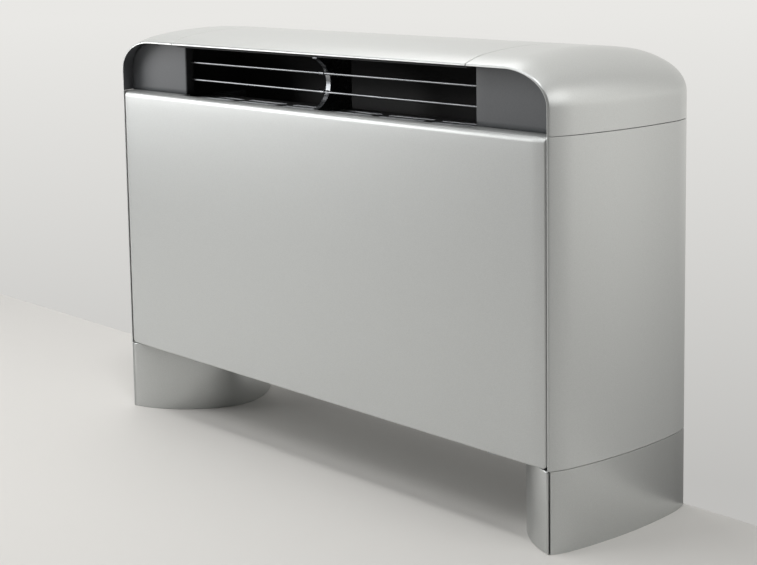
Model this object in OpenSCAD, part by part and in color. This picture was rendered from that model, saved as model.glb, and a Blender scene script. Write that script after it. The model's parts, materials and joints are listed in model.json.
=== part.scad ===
// Floor-standing fan coil unit, in millimetres.
// The origin is on the floor, under the middle of the cabinet.
// +X is to the right as seen from the front, +Y is towards the wall, +Z is up.

/* [Cabinet] */
// Width across the front edges of the two side panels
cabinet_w = 800; // [720:1:1000]
// Depth from the front panel to the wall
depth = 230; // [215:1:250]
// Height of the unit from the floor to the top of the hood
cabinet_h = 537; // [500:1:590]
// Height of the feet
foot_h = 92; // [70:1:120]
// Height of the hood at its front lip
hood_h = 70; // [64:1:84]
// How far the sides and the top swell out at mid depth
swell = 15; // [12:0.5:17]
// Slope of the swollen skin at its front and back edges, in degrees
edge_slope = 24; // [22:0.5:26]
// Slope where the tight edge arcs meet the long middle arc, in degrees
mid_slope = 8; // [7:0.5:9]
// Wall of the moulded covers
skin = 2.5; // [2:0.1:3]
// Thickness of the folded steel sheet
sheet = 1.2; // [0.8:0.1:1.6]
// Gap that shows between the front panel and a side panel
panel_gap = 2; // [1:0.1:3]
// Gap that shows between stacked covers
seam = 1.2; // [0.6:0.1:2]
// Gap between pieces that fit together
fit = 0.3; // [0.2:0.05:0.5]

/* [Front panel] */
// Outer radius of the rolled top edge
roll_r = 8; // [5:0.5:10]
// Depth of the ledge behind the rolled edge, under the end blanks
ledge = 26; // [25:0.5:28]
// Depth of the ledge along the outlet
outlet_ledge = 12; // [10:0.5:14]
// Drop of the ledge's rear edge
ledge_drop = 5; // [3:0.5:6]
// Depth of the folded sides and bottom
panel_return = 12; // [8:0.5:14]
// Radius of the lower corners
panel_corner = 6; // [3:0.5:10]
// Thickness of the insulation on the back of the panel
foam_t = 8; // [5:0.5:8]

/* [Hood] */
// Distance from the cabinet's edge to the seam at the end of the hood's middle
hood_in = 122; // [104:1:130]
// Width of the rounded corner at the front lip
corner_w = 66; // [50:1:80]
// Height of the rounded corner at the front lip
corner_h = 40; // [30:1:50]
// Thickness of the front lip
lip = 4; // [3:0.1:4.2]
// Depth of the thick front lip
lip_depth = 5; // [3:0.5:8]
// Reach of the rear flange past the wall of the cover
rear_flange = 12; // [8:0.5:14]

/* [Outlet] */
// Distance from the cabinet's edge to the outlet
outlet_in = 125; // [122:1:140]
// Setback of the end blanks behind the front face
blank_back = 20; // [19:0.5:22]
// Depth of the return along a blank's outlet edge
blank_return = 14; // [13:0.5:16]
// Radius of the outlet bars
bar_r = 1.5; // [1:0.1:2]
// Setback of the bars behind the front face
bar_back = 30; // [29:0.5:31]
// Height of the lower bar above the front panel's top edge
low_bar_up = 20; // [16:0.5:22]
// Height of the upper bar above the front panel's top edge
high_bar_up = 43; // [38:0.5:44]
// Thickness of the middle rib
rib_t = 2.5; // [2:0.1:3]
// Width of the flange along the rib's hollow edge
rib_flange_w = 8; // [6:0.5:10]
// Least height of the rib above and below its hollow edge
rib_end = 0.5; // [0.4:0.1:2]
// Setback of the centre of the rib's hollow edge
rib_back = 5.5; // [4:0.5:8]
// Setback of the tips of the rib
rib_tip_back = 18; // [17:0.5:22]
// Setback of the rear edge of the rib and the guard
guard_back = 76; // [74:0.5:80]
// Depth of the guard below the front panel's top edge
guard_drop = 3.7; // [3.2:0.1:4.2]
// Length of a guard slot
slot_l = 78; // [60:0.5:80]
// Width of a guard slot
slot_w = 5; // [4:0.5:7]
// Distance from slot to slot along the guard
slot_pitch = 91.5; // [88:0.5:93]
// Setback of the front row of slots
slot_back = 35.5; // [34:0.5:38]
// Distance between the two rows of slots
slot_row = 16.5; // [14:0.5:18]
// Radius of the bend in the air duct behind the outlet
duct_r = 66; // [60:0.5:68]

/* [Feet] */
// Wall of the foot shells
foot_wall = 3; // [2:0.1:4]
// Reach of the foot's curved inner shell inside the cabinet's edge
foot_reach = 106.8; // [100:0.2:110]
// Radius of the nose of that curve
nose_r = 70; // [60:0.5:80]
// Half the angle that the nose spans, in degrees
nose_half = 20.5; // [16:0.5:24]
// Width of the groove at the foot's front corner
foot_groove = 1.5; // [1:0.1:2.5]
// Depth of that groove
groove_depth = 6; // [3:0.5:8]

/* [Chassis] */
// Distance of an end plate inside the cabinet's edge
end_in = 100; // [94:1:104]
// Width of a folded flange
flange_w = 14; // [10:0.5:16]
// Height of the base rails
rail_h = 14; // [10:0.5:18]
// Width of the base rails
rail_w = 26; // [20:0.5:28]
// Setback of the front base rail behind the front face
rail_back = 13; // [13:0.5:16]
// Distance of a foot screw inside the cabinet's edge
foot_screw_in = 25; // [20:0.5:30]
// Radius of a wall fixing hole
wall_hole_r = 4.5; // [3:0.1:6]
// Distance of a wall fixing hole inside the cabinet's edge
wall_hole_in = 150; // [130:1:250]
// Distance of the wall fixing holes below the hood
wall_hole_down = 15; // [10:0.5:22]
// Room beside the water connections in the pipe opening
pipe_side = 18; // [16:0.5:19]
// Room above and below the water connections in the pipe opening
pipe_room = 29; // [26:0.5:34]

/* [Fan] */
// Radius of a fan wheel
wheel_r = 60; // [55:0.5:62]
// Gap between a fan wheel and each end of its housing
wheel_gap = 8; // [7:0.5:16]
// Number of blades on a fan wheel
blade_n = 30; // [20:1:36]
// Depth of a blade
blade_d = 11; // [8:0.5:13]
// Thickness of a blade
blade_t = 0.8; // [0.6:0.1:1]
// Turn of a blade from its inner to its outer edge, in degrees
blade_turn = 9; // [5:0.5:12]
// Radius of the wheel hub
hub_r = 12; // [9:0.5:16]
// Radius of the fan shaft
shaft_r = 5; // [4:0.1:6]
// Gap from the wheel to the tongue of the scroll
tongue_gap = 6; // [4:0.5:7]
// Growth of the scroll's radius from its tongue to its outlet
scroll_growth = 30; // [26:0.5:31]
// Distance of a fan housing from the end plate
housing_end = 28; // [24:1:40]
// Gap between the two fan housings
housing_gap = 144; // [140:1:160]
// Radius of the round inlet in a housing's side
inlet_r = 50; // [40:0.5:52]
// Height of the shaft above the base rails
fan_up = 90; // [88:0.5:94]
// Height of the fan deck above the shaft
neck_h = 80; // [78:0.5:82]
// Gap between the fan housings and the back panel
fan_gap = 5.8; // [5:0.1:9]
// Radius of the motor body
motor_r = 48; // [40:0.5:52]
// Length of the motor body
motor_l = 100; // [80:1:104]
// Radius of the motor's end bosses
boss_r = 22; // [18:0.5:26]
// Length of each boss
boss_l = 16; // [14:0.5:18]
// Radius of the rubber mounting rings
ring_r = 30; // [28:0.5:34]
// Outer radius of the shaft bearings
bearing_r = 11; // [9:0.5:13]
// Length of the shaft bearings
bearing_l = 9; // [6:0.5:10]
// Running clearance round the shaft
running = 0.05; // [0.03:0.01:0.1]

/* [Coil] */
// Thickness of the fin block
coil_t = 44; // [40:0.5:45]
// Setback of the coil's lower end behind the front face
coil_low_back = 33.6; // [33:0.2:36]
// Setback of the coil's upper end behind the front face
coil_high_back = 136.4; // [130:0.2:138]
// Height of the coil's lower end above the fan deck
coil_low_up = 24.7; // [22:0.1:26]
// Drop of the coil's upper end below the guard
coil_high_drop = 23.8; // [22:0.1:25]
// Distance of the fin block from the end plate
coil_in = 28; // [26:0.5:40]
// Distance from fin to fin
fin_pitch = 16; // [12:0.5:24]
// Thickness of a fin
fin_t = 0.6; // [0.4:0.1:1]
// Distance from tube to tube in a row, and from row to row
tube_pitch = 22; // [20:0.5:22.5]
// Radius of a coil tube
tube_r = 4.75; // [4:0.05:5]
// Radius of a header pipe
header_r = 9; // [8:0.1:10]
// Distance of the front header outside the end plate
front_header_out = 38; // [36:0.5:40]
// Distance of the rear header outside the end plate
rear_header_out = 64; // [62:0.5:66]
// Radius of a water connection's thread
thread_r = 10.5; // [9.5:0.1:11]
// Length of a water connection's thread
thread_l = 15; // [12:0.5:18]
// Wall of the nut behind the thread, outside the thread
nut_wall = 3; // [2:0.1:4]

/* [Drain pan] */
// Height of the pan's walls
pan_h = 22; // [18:0.5:24]
// Width of the pan from front to back
pan_w = 62; // [58:0.5:64]
// Wall of the pan
pan_wall = 1.5; // [1:0.1:2]
// Outer radius of the drain spout
spout_r = 8; // [6:0.1:8.5]
// Length of the drain spout
spout_l = 34; // [26:0.5:40]

/* [Terminal box] */
// Depth of the box out from the end plate
box_out = 48; // [36:0.5:56]
// Width of the box from front to back
box_w = 110; // [90:1:130]
// Height of the box
box_h = 120; // [100:1:140]
// Wall of the box
box_wall = 2; // [1.5:0.1:2.5]
// Radius of the cable gland's body
gland_r = 9; // [7:0.5:11]
// Radius of the hole through the gland
gland_hole_r = 4; // [3:0.1:5]

/* [Filter] */
// Gap between a filter guide and a foot
guide_gap = 2.7; // [1:0.1:6]
// Gap between the filter and the wall
filter_rear = 15; // [14:0.5:30]
// Thickness of the filter frame
filter_t = 9; // [8:0.5:10]
// Width of the frame's border
filter_border = 12; // [8:0.5:16]
// Width of the frame's cross ribs
filter_rib = 4; // [3:0.5:6]
// Thickness of the filter medium
medium_t = 3; // [2:0.5:4]
// Setback of the filter behind the front face
filter_back = 45; // [42:0.5:50]
// Height of the filter guides
guide_h = 13; // [13:0.5:15]
// Length of a filter guide that lies under the front base rail
guide_seat = 8; // [6:0.5:16]

/* [Hidden] */

// Main planes and levels of the cabinet
half_w = cabinet_w / 2;
half_d = depth / 2;
front_y = -half_d;
lip_z = cabinet_h - swell;
seam_z = lip_z - hood_h;
panel_h = seam_z - foot_h;
inner_front = front_y + sheet;
inner_back = half_d - sheet;
edge_wall = skin / cos(edge_slope);
front_half = half_w - edge_wall - panel_gap;
flange_y = inner_back - skin;
hood_half = half_w - hood_in;
outlet_half = half_w - outlet_in;
end_half = half_w - end_in;

// Facets of large and small rounds, and the length by which a cutting shape passes the face it cuts
round_fn = 96;
hole_fn = 48;
over = 1;

// Radii of the swollen skin: a long middle arc runs smoothly into a tight arc at each edge
slope_det = sin(mid_slope) * (cos(mid_slope) - cos(edge_slope))
    - (sin(edge_slope) - sin(mid_slope)) * (1 - cos(mid_slope));
mid_r = (half_d * (cos(mid_slope) - cos(edge_slope))
    - (sin(edge_slope) - sin(mid_slope)) * swell) / slope_det;
edge_r = (sin(mid_slope) * swell - (1 - cos(mid_slope)) * half_d) / slope_det;
edge_len = edge_r * (sin(edge_slope) - sin(mid_slope));
arc_overlap = edge_len / 4;
swell_reach = rear_flange + 4 * skin;
mid_centre = swell - mid_r;
edge_centre = mid_centre + (mid_r - edge_r) * cos(mid_slope);
edge_offset = (mid_r - edge_r) * sin(mid_slope);

// Outlet levels
blank_y = front_y + blank_back;
bar_y = front_y + bar_back;
low_bar_z = seam_z + low_bar_up;
high_bar_z = seam_z + high_bar_up;
guard_z = seam_z - guard_drop;
guard_y = front_y + ledge + 2 * fit;
guard_front = front_y + outlet_ledge + 2 * fit;
guard_end = front_y + guard_back;
duct_top = lip_z - lip;
duct_z = duct_top - duct_r;
duct_y = guard_end - skin;
duct_front = front_y + lip_depth + seam;
duct_side = blank_y + skin + fit;
rib_top = duct_top - sheet;
rib_z = (guard_z + rib_top) / 2;
rib_r = (rib_top - guard_z) / 2 - rib_end;
rib_y = front_y + rib_back;
rib_tip = front_y + rib_tip_back;

// Chassis levels
rail_top = foot_h + rail_h;
front_rail_y = front_y + rail_back;
rear_rail_y = inner_back - rail_w;
fan_z = rail_top + fan_up;
deck_z = fan_z + neck_h;
deck_top = deck_z + sheet;
plate_gap = 2 * sheet;
plate_front_top = seam_z - ledge_drop - plate_gap;
plate_top = rib_top - sheet - plate_gap;
wall_hole_x = half_w - wall_hole_in;
wall_hole_z = seam_z - wall_hole_down;

// Foot plan: a round nose between two flatter flanks that end at the cabinet's corners
foot_clip = half_w - foot_wall / cos(edge_slope) - fit;
foot_nose = half_w - foot_reach;
nose_x = foot_nose + nose_r;
nose_out = [-cos(nose_half), -sin(nose_half)];
flank_start = [nose_x, 0] + nose_r * nose_out;
flank_chord = flank_start - [half_w, front_y];
flank_r = flank_chord * flank_chord / (2 * flank_chord * nose_out);
flank_at = flank_start - flank_r * nose_out;

// Screw sizes and places
screw_r = 2;
screw_hole_r = screw_r + fit / 2;
screw_l = 4 * sheet;
head_r = 4;
head_h = 2.4;
foot_screw_x = half_w - foot_screw_in;
plate_screw_x = end_half + flange_w / 2 + sheet;
front_screw_y = front_rail_y + rail_w / 2;
rear_screw_y = rear_rail_y + sheet + head_r + fit;
screw_rows = [front_screw_y, rear_screw_y];
foot_screw_at = [for (s = [-1, 1], y = screw_rows) [s * foot_screw_x, y]];
plate_screw_at = [for (s = [-1, 1], y = screw_rows) [s * plate_screw_x, y]];

// Fan layout along the shaft and round it
housing_in = housing_gap / 2;
housing_out = end_half - housing_end;
wheel_mid = (housing_in + housing_out) / 2;
wheel_l = housing_out - housing_in - 2 * wheel_gap;
shaft_half = wheel_mid + hub_r;
tongue_r = wheel_r + tongue_gap;
scroll_back = tongue_r + scroll_growth;
fan_y = inner_back - fan_gap - scroll_back;
tongue_angle = 130;
scroll_end = 360;
scroll_step = 11.5;
inlet_lip = 3;
motor_half = motor_l / 2;
boss_end = motor_half + boss_l;
bracket_x = motor_half + boss_l / 2;
bracket_w = 2 * ring_r;
bracket_flange = 16;
bracket_rim = 7.5;
motor_screw_x = bracket_x - bracket_flange / 2;
motor_screw_y = ring_r - head_r;

// Coil layout
coil_low_z = deck_top + coil_low_up;
coil_high_z = guard_z - coil_high_drop;
coil_run = coil_high_back - coil_low_back;
coil_rise = coil_high_z - coil_low_z;
coil_h = sqrt(coil_run * coil_run + coil_rise * coil_rise);
coil_lean = atan2(coil_run, coil_rise);
coil_y = front_y + (coil_low_back + coil_high_back) / 2;
coil_z = (coil_low_z + coil_high_z) / 2;
coil_half = end_half - coil_in;
tube_n = floor(coil_h / tube_pitch);
tube_rows = [-1, 1];
tube_up = [for (i = [0 : tube_n - 1]) (i - (tube_n - 1) / 2) * tube_pitch];
bend_x = coil_half + 2 * sheet + fit + tube_r;
header_half = (tube_n - 1) / 2 * tube_pitch + tube_pitch / 2;
header_wall = 1.5;
header_end = header_half + 2 * header_r;
front_header_x = end_half + front_header_out;
rear_header_x = end_half + rear_header_out;
fin_n = floor((2 * coil_half - 2 * fin_pitch / 3) / fin_pitch) + 1;

// Drain pan and spout
pan_y = inner_front + foam_t + 2 * fit;
pan_half = end_half - 2 * sheet;
spout_y = pan_y + spout_r + 3 * pan_wall;
spout_z = deck_top + spout_r + pan_wall;

// Terminal box
box_x = end_half + sheet;
cover_x = box_x + box_out;
post_w = 2 * head_r;
post_y = box_w / 2 - box_wall - post_w / 2;
post_mid_z = deck_top + box_h / 2;
post_up = box_h / 2 - box_wall - post_w / 2;
post_at = [for (s = [-1, 1], t = [-1, 1]) [s * post_y, post_mid_z + t * post_up]];

// Filter levels
guide_z = foot_h - guide_h;
guide_x = foot_nose - guide_gap - sheet;
filter_half = guide_x - 2 * fit;
filter_y = front_y + filter_back;
filter_end = half_d - filter_rear;
filter_z = guide_z + sheet + fit;
guide_lip = filter_border - 2;

silver = [0.78, 0.79, 0.80];
dark_grey = [0.38, 0.39, 0.40];
black = [0.08, 0.08, 0.08];
galvanised = [0.66, 0.68, 0.70];
copper = [0.72, 0.45, 0.30];
brass = [0.80, 0.68, 0.36];
bright = [0.85, 0.86, 0.87];

// Swell of the skin at a distance y from mid depth
function swell_at(y) =
    let (t = half_d - abs(y))
    t < edge_len
        ? edge_r * (cos(asin(sin(edge_slope) - t / edge_r)) - cos(edge_slope))
        : mid_centre + sqrt(mid_r * mid_r - y * y);

// Right half of the hood's outline at depth y, from the top at start_x round to the bottom edge
function hood_outline(y, inset, start_x) =
    let (b = swell_at(y) - inset)
    let (cx = half_w - corner_w)
    let (cz = lip_z - corner_h)
    concat(
        [[start_x, cz + corner_h + b]],
        [for (a = [90 : -7.5 : 0]) [cx + (corner_w + b) * cos(a), cz + (corner_h + b) * sin(a)]],
        [[cx + corner_w + b, seam_z]]
    );

// Point on the fan scroll at an angle, with its wall taken off
function scroll_point(a, inset) =
    let (r = tongue_r + scroll_growth * (a - tongue_angle) / (scroll_end - tongue_angle) - inset)
    [r * cos(a), r * sin(a)];

// Closed ring of points round the wall of a hood end at depth y, with its inner face set in
function hood_ring(y, inset, start_x) =
    let (outer = hood_outline(y, 0, start_x))
    let (inner = hood_outline(y, inset, start_x))
    let (n = len(outer))
    [for (k = [0 : 2 * n - 1])
        let (p = k < n ? outer[k] : inner[2 * n - 1 - k])
        [p[0], y, p[1]]];

// Place where a header's water connection leaves it; row is -1 or 1, and end is -1 or 1
function header_y(row, end) =
    coil_y + row * tube_pitch / 2 * cos(coil_lean) + end * header_half * sin(coil_lean);
function header_z(row, end) =
    coil_z - row * tube_pitch / 2 * sin(coil_lean) + end * header_half * cos(coil_lean);

// Extrudes an outline in X and Z from y0 back to y1
module upright(y0, y1) {
    translate([0, y1, 0]) rotate([90, 0, 0]) linear_extrude(y1 - y0) children();
}

// Extrudes an outline in Y and Z from x0 to x1
module along_x(x0, x1) {
    translate([x0, 0, 0]) rotate([90, 0, 90]) linear_extrude(x1 - x0) children();
}

module box(x0, x1, y0, y1, z0, z1) {
    translate([x0, y0, z0]) cube([x1 - x0, y1 - y0, z1 - z0]);
}

module rod_x(r, x0, x1) {
    translate([x0, 0, 0]) rotate([0, 90, 0]) cylinder(r = r, h = x1 - x0, $fn = round_fn);
}

module rod_y(r, y0, y1) {
    translate([0, y1, 0]) rotate([90, 0, 0]) cylinder(r = r, h = y1 - y0, $fn = round_fn);
}

module left_of() {
    mirror([1, 0, 0]) children();
}

// Plan of the swollen side, with X outwards from the cabinet's edge and Y along the depth
module swell_area(inset, reach) {
    cut = (mid_r - inset) * sin(mid_slope);
    intersection() {
        translate([mid_centre, 0]) circle(mid_r - inset, $fn = 2 * round_fn);
        translate([-reach, -cut]) square([reach + swell, 2 * cut]);
    }
    for (s = [-1, 1])
        intersection() {
            translate([edge_centre, s * edge_offset]) circle(edge_r - inset, $fn = round_fn);
            translate([-reach, s > 0 ? cut - arc_overlap : -half_d])
                square([reach + swell, half_d - cut + arc_overlap]);
        }
}

module swell_strip(inset, y0, y1) {
    intersection() {
        swell_area(inset, 2 * swell_reach);
        translate([-2 * swell_reach, y0]) square([2 * swell_reach + swell, y1 - y0]);
    }
}

// Section of a moulded cover: swollen wall, front edge and rear flange
module cover_section(front_wall) {
    difference() {
        swell_area(0, swell_reach);
        swell_area(skin + rear_flange, 2 * swell_reach);
        swell_strip(skin, front_y + lip_depth, flange_y);
        swell_strip(skin, inner_back, half_d + skin);
        swell_strip(front_wall, front_y - skin, front_y + lip_depth + fit);
    }
}

// Shell lofted through hood outlines; each station is a depth and an inner inset
module hood_end() {
    step_y = 0.2;
    mid_n = 14;
    body_y = front_y + lip_depth + lip - skin;
    start_x = hood_half + seam;
    stations = concat(
        [[front_y, lip], [front_y + lip_depth, lip]],
        [for (i = [0 : mid_n]) [body_y + i * (flange_y - step_y - body_y) / mid_n, skin]],
        [[flange_y, skin + rear_flange], [inner_back - step_y, skin + rear_flange],
         [inner_back, skin], [half_d, skin]]
    );
    rings = [for (s = stations) hood_ring(s[0], s[1], start_x)];
    n = len(rings[0]);
    last = (len(rings) - 1) * n;
    points = [for (r = rings, p = r) p];
    sides = [for (k = [0 : len(rings) - 2], j = [0 : n - 1], t = [0, 1])
        let (a = k * n + j, b = k * n + (j + 1) % n)
        t == 0 ? [a, b, b + n] : [a, b + n, a + n]];
    front_cap = [for (j = [0 : n / 2 - 2], t = [0, 1])
        t == 0 ? [j, n - 1 - j, n - 2 - j] : [j, n - 2 - j, j + 1]];
    back_cap = [for (f = front_cap) [last + f[2], last + f[1], last + f[0]]];
    polyhedron(points, concat(sides, front_cap, back_cap));
}

module side_panel() {
    translate([half_w, 0, foot_h + seam]) linear_extrude(panel_h - 2 * seam) cover_section(skin);
}

// Grey blank that closes the outlet's end, with a return along the opening
module outlet_blank() {
    outline = hood_outline(blank_y, edge_wall + fit, outlet_half);
    upright(blank_y, blank_y + skin) polygon(concat(outline, [[outlet_half, seam_z]]));
    box(outlet_half, outlet_half + skin, blank_y, blank_y + blank_return, seam_z, plate_top);
}

module outlet_bar(z) {
    translate([0, bar_y, z]) rod_x(bar_r, -outlet_half, outlet_half);
}

// Outer shell of a foot: the swollen side wall and a narrow top
module foot_outer() {
    translate([half_w, 0, 0]) {
        linear_extrude(foot_h)
            difference() {
                swell_area(0, swell_reach);
                swell_area(foot_wall, 2 * swell_reach);
            }
        translate([0, 0, foot_h - foot_wall])
            linear_extrude(foot_wall)
                intersection() {
                    swell_area(0, swell_reach);
                    translate([-foot_wall / cos(edge_slope), -half_d])
                        square([swell + 2 * foot_wall, depth]);
                }
    }
}

// Plan of a foot's inner shell: the flanks, cut where the nose begins, and the nose
module foot_plan(inset) {
    cut_x = nose_x - (nose_r - inset) * cos(nose_half);
    intersection() {
        translate(flank_at) circle(flank_r - inset, $fn = 2 * round_fn);
        translate([flank_at[0], -flank_at[1]]) circle(flank_r - inset, $fn = 2 * round_fn);
        translate([cut_x, -half_d]) square([foot_clip - inset - cut_x, depth]);
    }
    intersection() {
        translate([nose_x, 0]) circle(nose_r - inset, $fn = 2 * round_fn);
        translate([foot_nose, -half_d]) square([cut_x + arc_overlap - foot_nose, depth]);
    }
}

// Inner shell of a foot: a round-backed moulding with a closed top
module foot_inner() {
    difference() {
        linear_extrude(foot_h) foot_plan(0);
        translate([0, 0, -foot_wall]) linear_extrude(foot_h) foot_plan(foot_wall);
        box(foot_clip - foot_groove, foot_clip + fit, front_y - fit, front_y + groove_depth,
            -fit, foot_h + fit);
        for (y = screw_rows)
            translate([foot_screw_x, y, 0]) cylinder(r = screw_hole_r, h = 2 * foot_h, $fn = hole_fn);
    }
}

// End plate of the chassis in the YZ plane
module end_plate_outline() {
    top_back = duct_y + duct_r + plate_gap;
    polygon([
        [inner_front, rail_top], [inner_back, rail_top], [inner_back, seam_z],
        [top_back, seam_z], [top_back, plate_top],
        [guard_y, plate_top], [guard_y, plate_front_top], [inner_front, plate_front_top]
    ]);
}

module end_plate() {
    out = end_half + sheet + flange_w;
    difference() {
        union() {
            along_x(end_half, end_half + sheet) end_plate_outline();
            box(end_half, out, inner_front, inner_front + sheet, rail_top, plate_front_top);
            box(end_half, out, inner_back - sheet, inner_back, rail_top, seam_z);
            box(end_half, out, front_rail_y, rear_rail_y + rail_w, rail_top, rail_top + sheet);
        }
        for (p = plate_screw_at)
            translate([abs(p[0]), p[1], rail_top - sheet])
                cylinder(r = screw_hole_r, h = screw_l, $fn = hole_fn);
    }
}

// Inverted channel across the feet
module base_rail(y0) {
    half = half_w - edge_wall - skin - rear_flange - fit;
    difference() {
        box(-half, half, y0, y0 + rail_w, foot_h, rail_top);
        box(-half - over, half + over, y0 + sheet, y0 + rail_w - sheet, foot_h - over, rail_top - sheet);
        for (p = concat(foot_screw_at, plate_screw_at))
            translate([p[0], p[1], foot_h]) cylinder(r = screw_hole_r, h = 2 * rail_h, $fn = hole_fn);
    }
}

// Channel that carries one side of the filter
module filter_guide() {
    inner = guide_x - guide_lip;
    outer = guide_x + sheet;
    y0 = front_rail_y + rail_w - guide_seat;
    y1 = inner_back - fit;
    box(guide_x, outer, y0, y1, guide_z, foot_h);
    box(inner, outer, y0, y1, guide_z, guide_z + sheet);
    box(inner, outer, y0, y1, foot_h - sheet, foot_h);
}

// Inside of a fan scroll, seen along the shaft
module scroll_outline(inset) {
    spiral = [for (a = [tongue_angle : scroll_step : scroll_end]) scroll_point(a, inset)];
    back = spiral[len(spiral) - 1][0];
    lead = scroll_point(tongue_angle, 0)[0] + inset;
    polygon(concat(spiral, [[back, neck_h], [lead, neck_h]]));
}

module fan_housing() {
    rim = wheel_gap;
    lead = scroll_point(tongue_angle, 0)[0];
    translate([0, fan_y, fan_z]) {
        along_x(housing_in, housing_out) difference() {
            scroll_outline(0);
            scroll_outline(sheet);
        }
        for (x = [housing_in, housing_out - sheet])
            along_x(x, x + sheet) difference() {
                scroll_outline(0);
                circle(inlet_r, $fn = round_fn);
            }
        for (x = [housing_in, housing_out - inlet_lip])
            along_x(x, x + inlet_lip) difference() {
                circle(inlet_r + sheet, $fn = round_fn);
                circle(inlet_r, $fn = round_fn);
            }
        translate([0, 0, neck_h - sheet]) difference() {
            box(housing_in - rim, housing_out + rim, lead - rim, scroll_back, 0, sheet);
            box(housing_in + sheet, housing_out - sheet, lead + sheet, scroll_back - sheet,
                -over, sheet + over);
        }
    }
}

// Blade section: a thin strip that leans forward as it goes out
module blade_outline() {
    n = 4;
    r0 = wheel_r - blade_d;
    r1 = wheel_r - blade_t;
    line = [for (i = [0 : n]) let (s = i / n) [r0 + s * (r1 - r0), blade_turn * s * s]];
    half = [for (p = line) blade_t / p[0] * 90 / PI];
    polygon(concat(
        [for (i = [0 : n]) line[i][0] * [cos(line[i][1] - half[i]), sin(line[i][1] - half[i])]],
        [for (i = [n : -1 : 0]) line[i][0] * [cos(line[i][1] + half[i]), sin(line[i][1] + half[i])]]
    ));
}

// Double-width fan wheel: blades between two end rings, on a middle disc and hub
module fan_wheel() {
    ring_w = 4;
    disc_t = 1.6;
    x0 = wheel_mid - wheel_l / 2;
    x1 = wheel_mid + wheel_l / 2;
    translate([0, fan_y, fan_z]) difference() {
        union() {
            along_x(x0, x1)
                for (i = [0 : blade_n - 1]) rotate(i * 360 / blade_n) blade_outline();
            for (x = [x0, x1 - ring_w])
                along_x(x, x + ring_w) difference() {
                    circle(wheel_r, $fn = round_fn);
                    circle(wheel_r - blade_d / 3, $fn = round_fn);
                }
            rod_x(wheel_r - blade_d / 3, wheel_mid - disc_t / 2, wheel_mid + disc_t / 2);
            rod_x(hub_r, wheel_mid - hub_r, wheel_mid + hub_r);
        }
        rod_x(shaft_r + running, x0, x1);
    }
}

// Bracket that hangs one end of the motor from the fan deck
module motor_bracket() {
    difference() {
        union() {
            translate([0, fan_y, fan_z]) along_x(bracket_x - sheet, bracket_x + sheet) {
                circle(ring_r + bracket_rim, $fn = round_fn);
                translate([-ring_r, 0]) square([bracket_w, neck_h]);
            }
            box(bracket_x - bracket_flange, bracket_x, fan_y - ring_r, fan_y + ring_r,
                deck_z - sheet, deck_z);
        }
        translate([0, fan_y, fan_z])
            rod_x(ring_r + running, bracket_x - 2 * sheet, bracket_x + 2 * sheet);
        for (s = [-1, 1])
            translate([motor_screw_x, fan_y + s * motor_screw_y, deck_z - 2 * sheet])
                cylinder(r = screw_hole_r, h = screw_l, $fn = hole_fn);
    }
}

module motor_ring() {
    translate([0, fan_y, fan_z]) difference() {
        rod_x(ring_r, motor_half + fit, boss_end);
        rod_x(boss_r + running, motor_half, boss_end + over);
    }
}

module shaft_bearing() {
    translate([0, fan_y, fan_z]) difference() {
        rod_x(bearing_r, boss_end - bearing_l, boss_end);
        rod_x(shaft_r + running, boss_end - 2 * bearing_l, boss_end + over);
    }
}

// Moves an outline from the coil's own plane into the leaning place it has in the cabinet
module in_coil() {
    translate([0, coil_y, coil_z]) rotate([-coil_lean, 0, 0]) children();
}

// Coil section in Y (through the rows) and Z (up the coil), with its tube holes
module coil_section(margin) {
    difference() {
        square([coil_t + 2 * margin, coil_h + 2 * margin], center = true);
        for (r = tube_rows, u = tube_up)
            translate([r * tube_pitch / 2, u]) circle(tube_r + fit / 2, $fn = hole_fn);
    }
}

// Tube plate at the end of the fin block: its upper flange reaches the end plate, its lower one the pan
module coil_plate() {
    in_coil() {
        along_x(coil_half, coil_half + sheet) coil_section(0);
        box(coil_half, end_half, -coil_t / 2, coil_t / 2, coil_h / 2 - sheet, coil_h / 2);
        box(coil_half, pan_half - pan_wall - fit, -coil_t / 2, coil_t / 2, -coil_h / 2, sheet - coil_h / 2);
    }
}

// Header pipe along one row of tubes, with a water connection that runs back to the wall
module header(row, x, end) {
    bottom = -header_half - header_r;
    length = header_end - bottom;
    pipe_y = header_y(row, end);
    pipe_z = header_z(row, end);
    end_y = inner_back - 2 * thread_r;
    difference() {
        union() {
            in_coil() translate([-x, row * tube_pitch / 2, bottom])
                cylinder(r = header_r, h = length, $fn = round_fn);
            translate([-x, 0, pipe_z]) {
                rod_y(header_r - header_wall, pipe_y, end_y - thread_l);
                rod_y(thread_r, end_y - thread_l, end_y);
                translate([0, end_y - thread_l, 0]) rotate([90, 0, 0])
                    cylinder(r = thread_r + nut_wall, h = thread_l / 2, $fn = 6);
            }
        }
        in_coil() {
            translate([-x, row * tube_pitch / 2, bottom + header_wall])
                cylinder(r = header_r - header_wall, h = length - 2 * header_wall, $fn = round_fn);
            for (u = tube_up)
                translate([0, row * tube_pitch / 2, u])
                    rod_x(tube_r + fit / 2, -x, -x + 2 * header_r);
        }
        translate([-x, 0, pipe_z]) rod_y(header_r - 2 * header_wall, pipe_y, end_y + over);
    }
}

// Pan-head screw with its head resting at the origin and its shank going down
module screw(length) {
    cylinder(r = head_r, h = head_h, $fn = hole_fn);
    translate([0, 0, -length]) cylinder(r = screw_r, h = length, $fn = hole_fn);
}

// Section of the ledge behind the front panel's rolled edge
module ledge_section(reach) {
    translate([front_y + roll_r, seam_z - sheet]) square([reach - roll_r, sheet]);
    translate([front_y + reach - sheet, seam_z - ledge_drop]) square([sheet, ledge_drop]);
}

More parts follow.
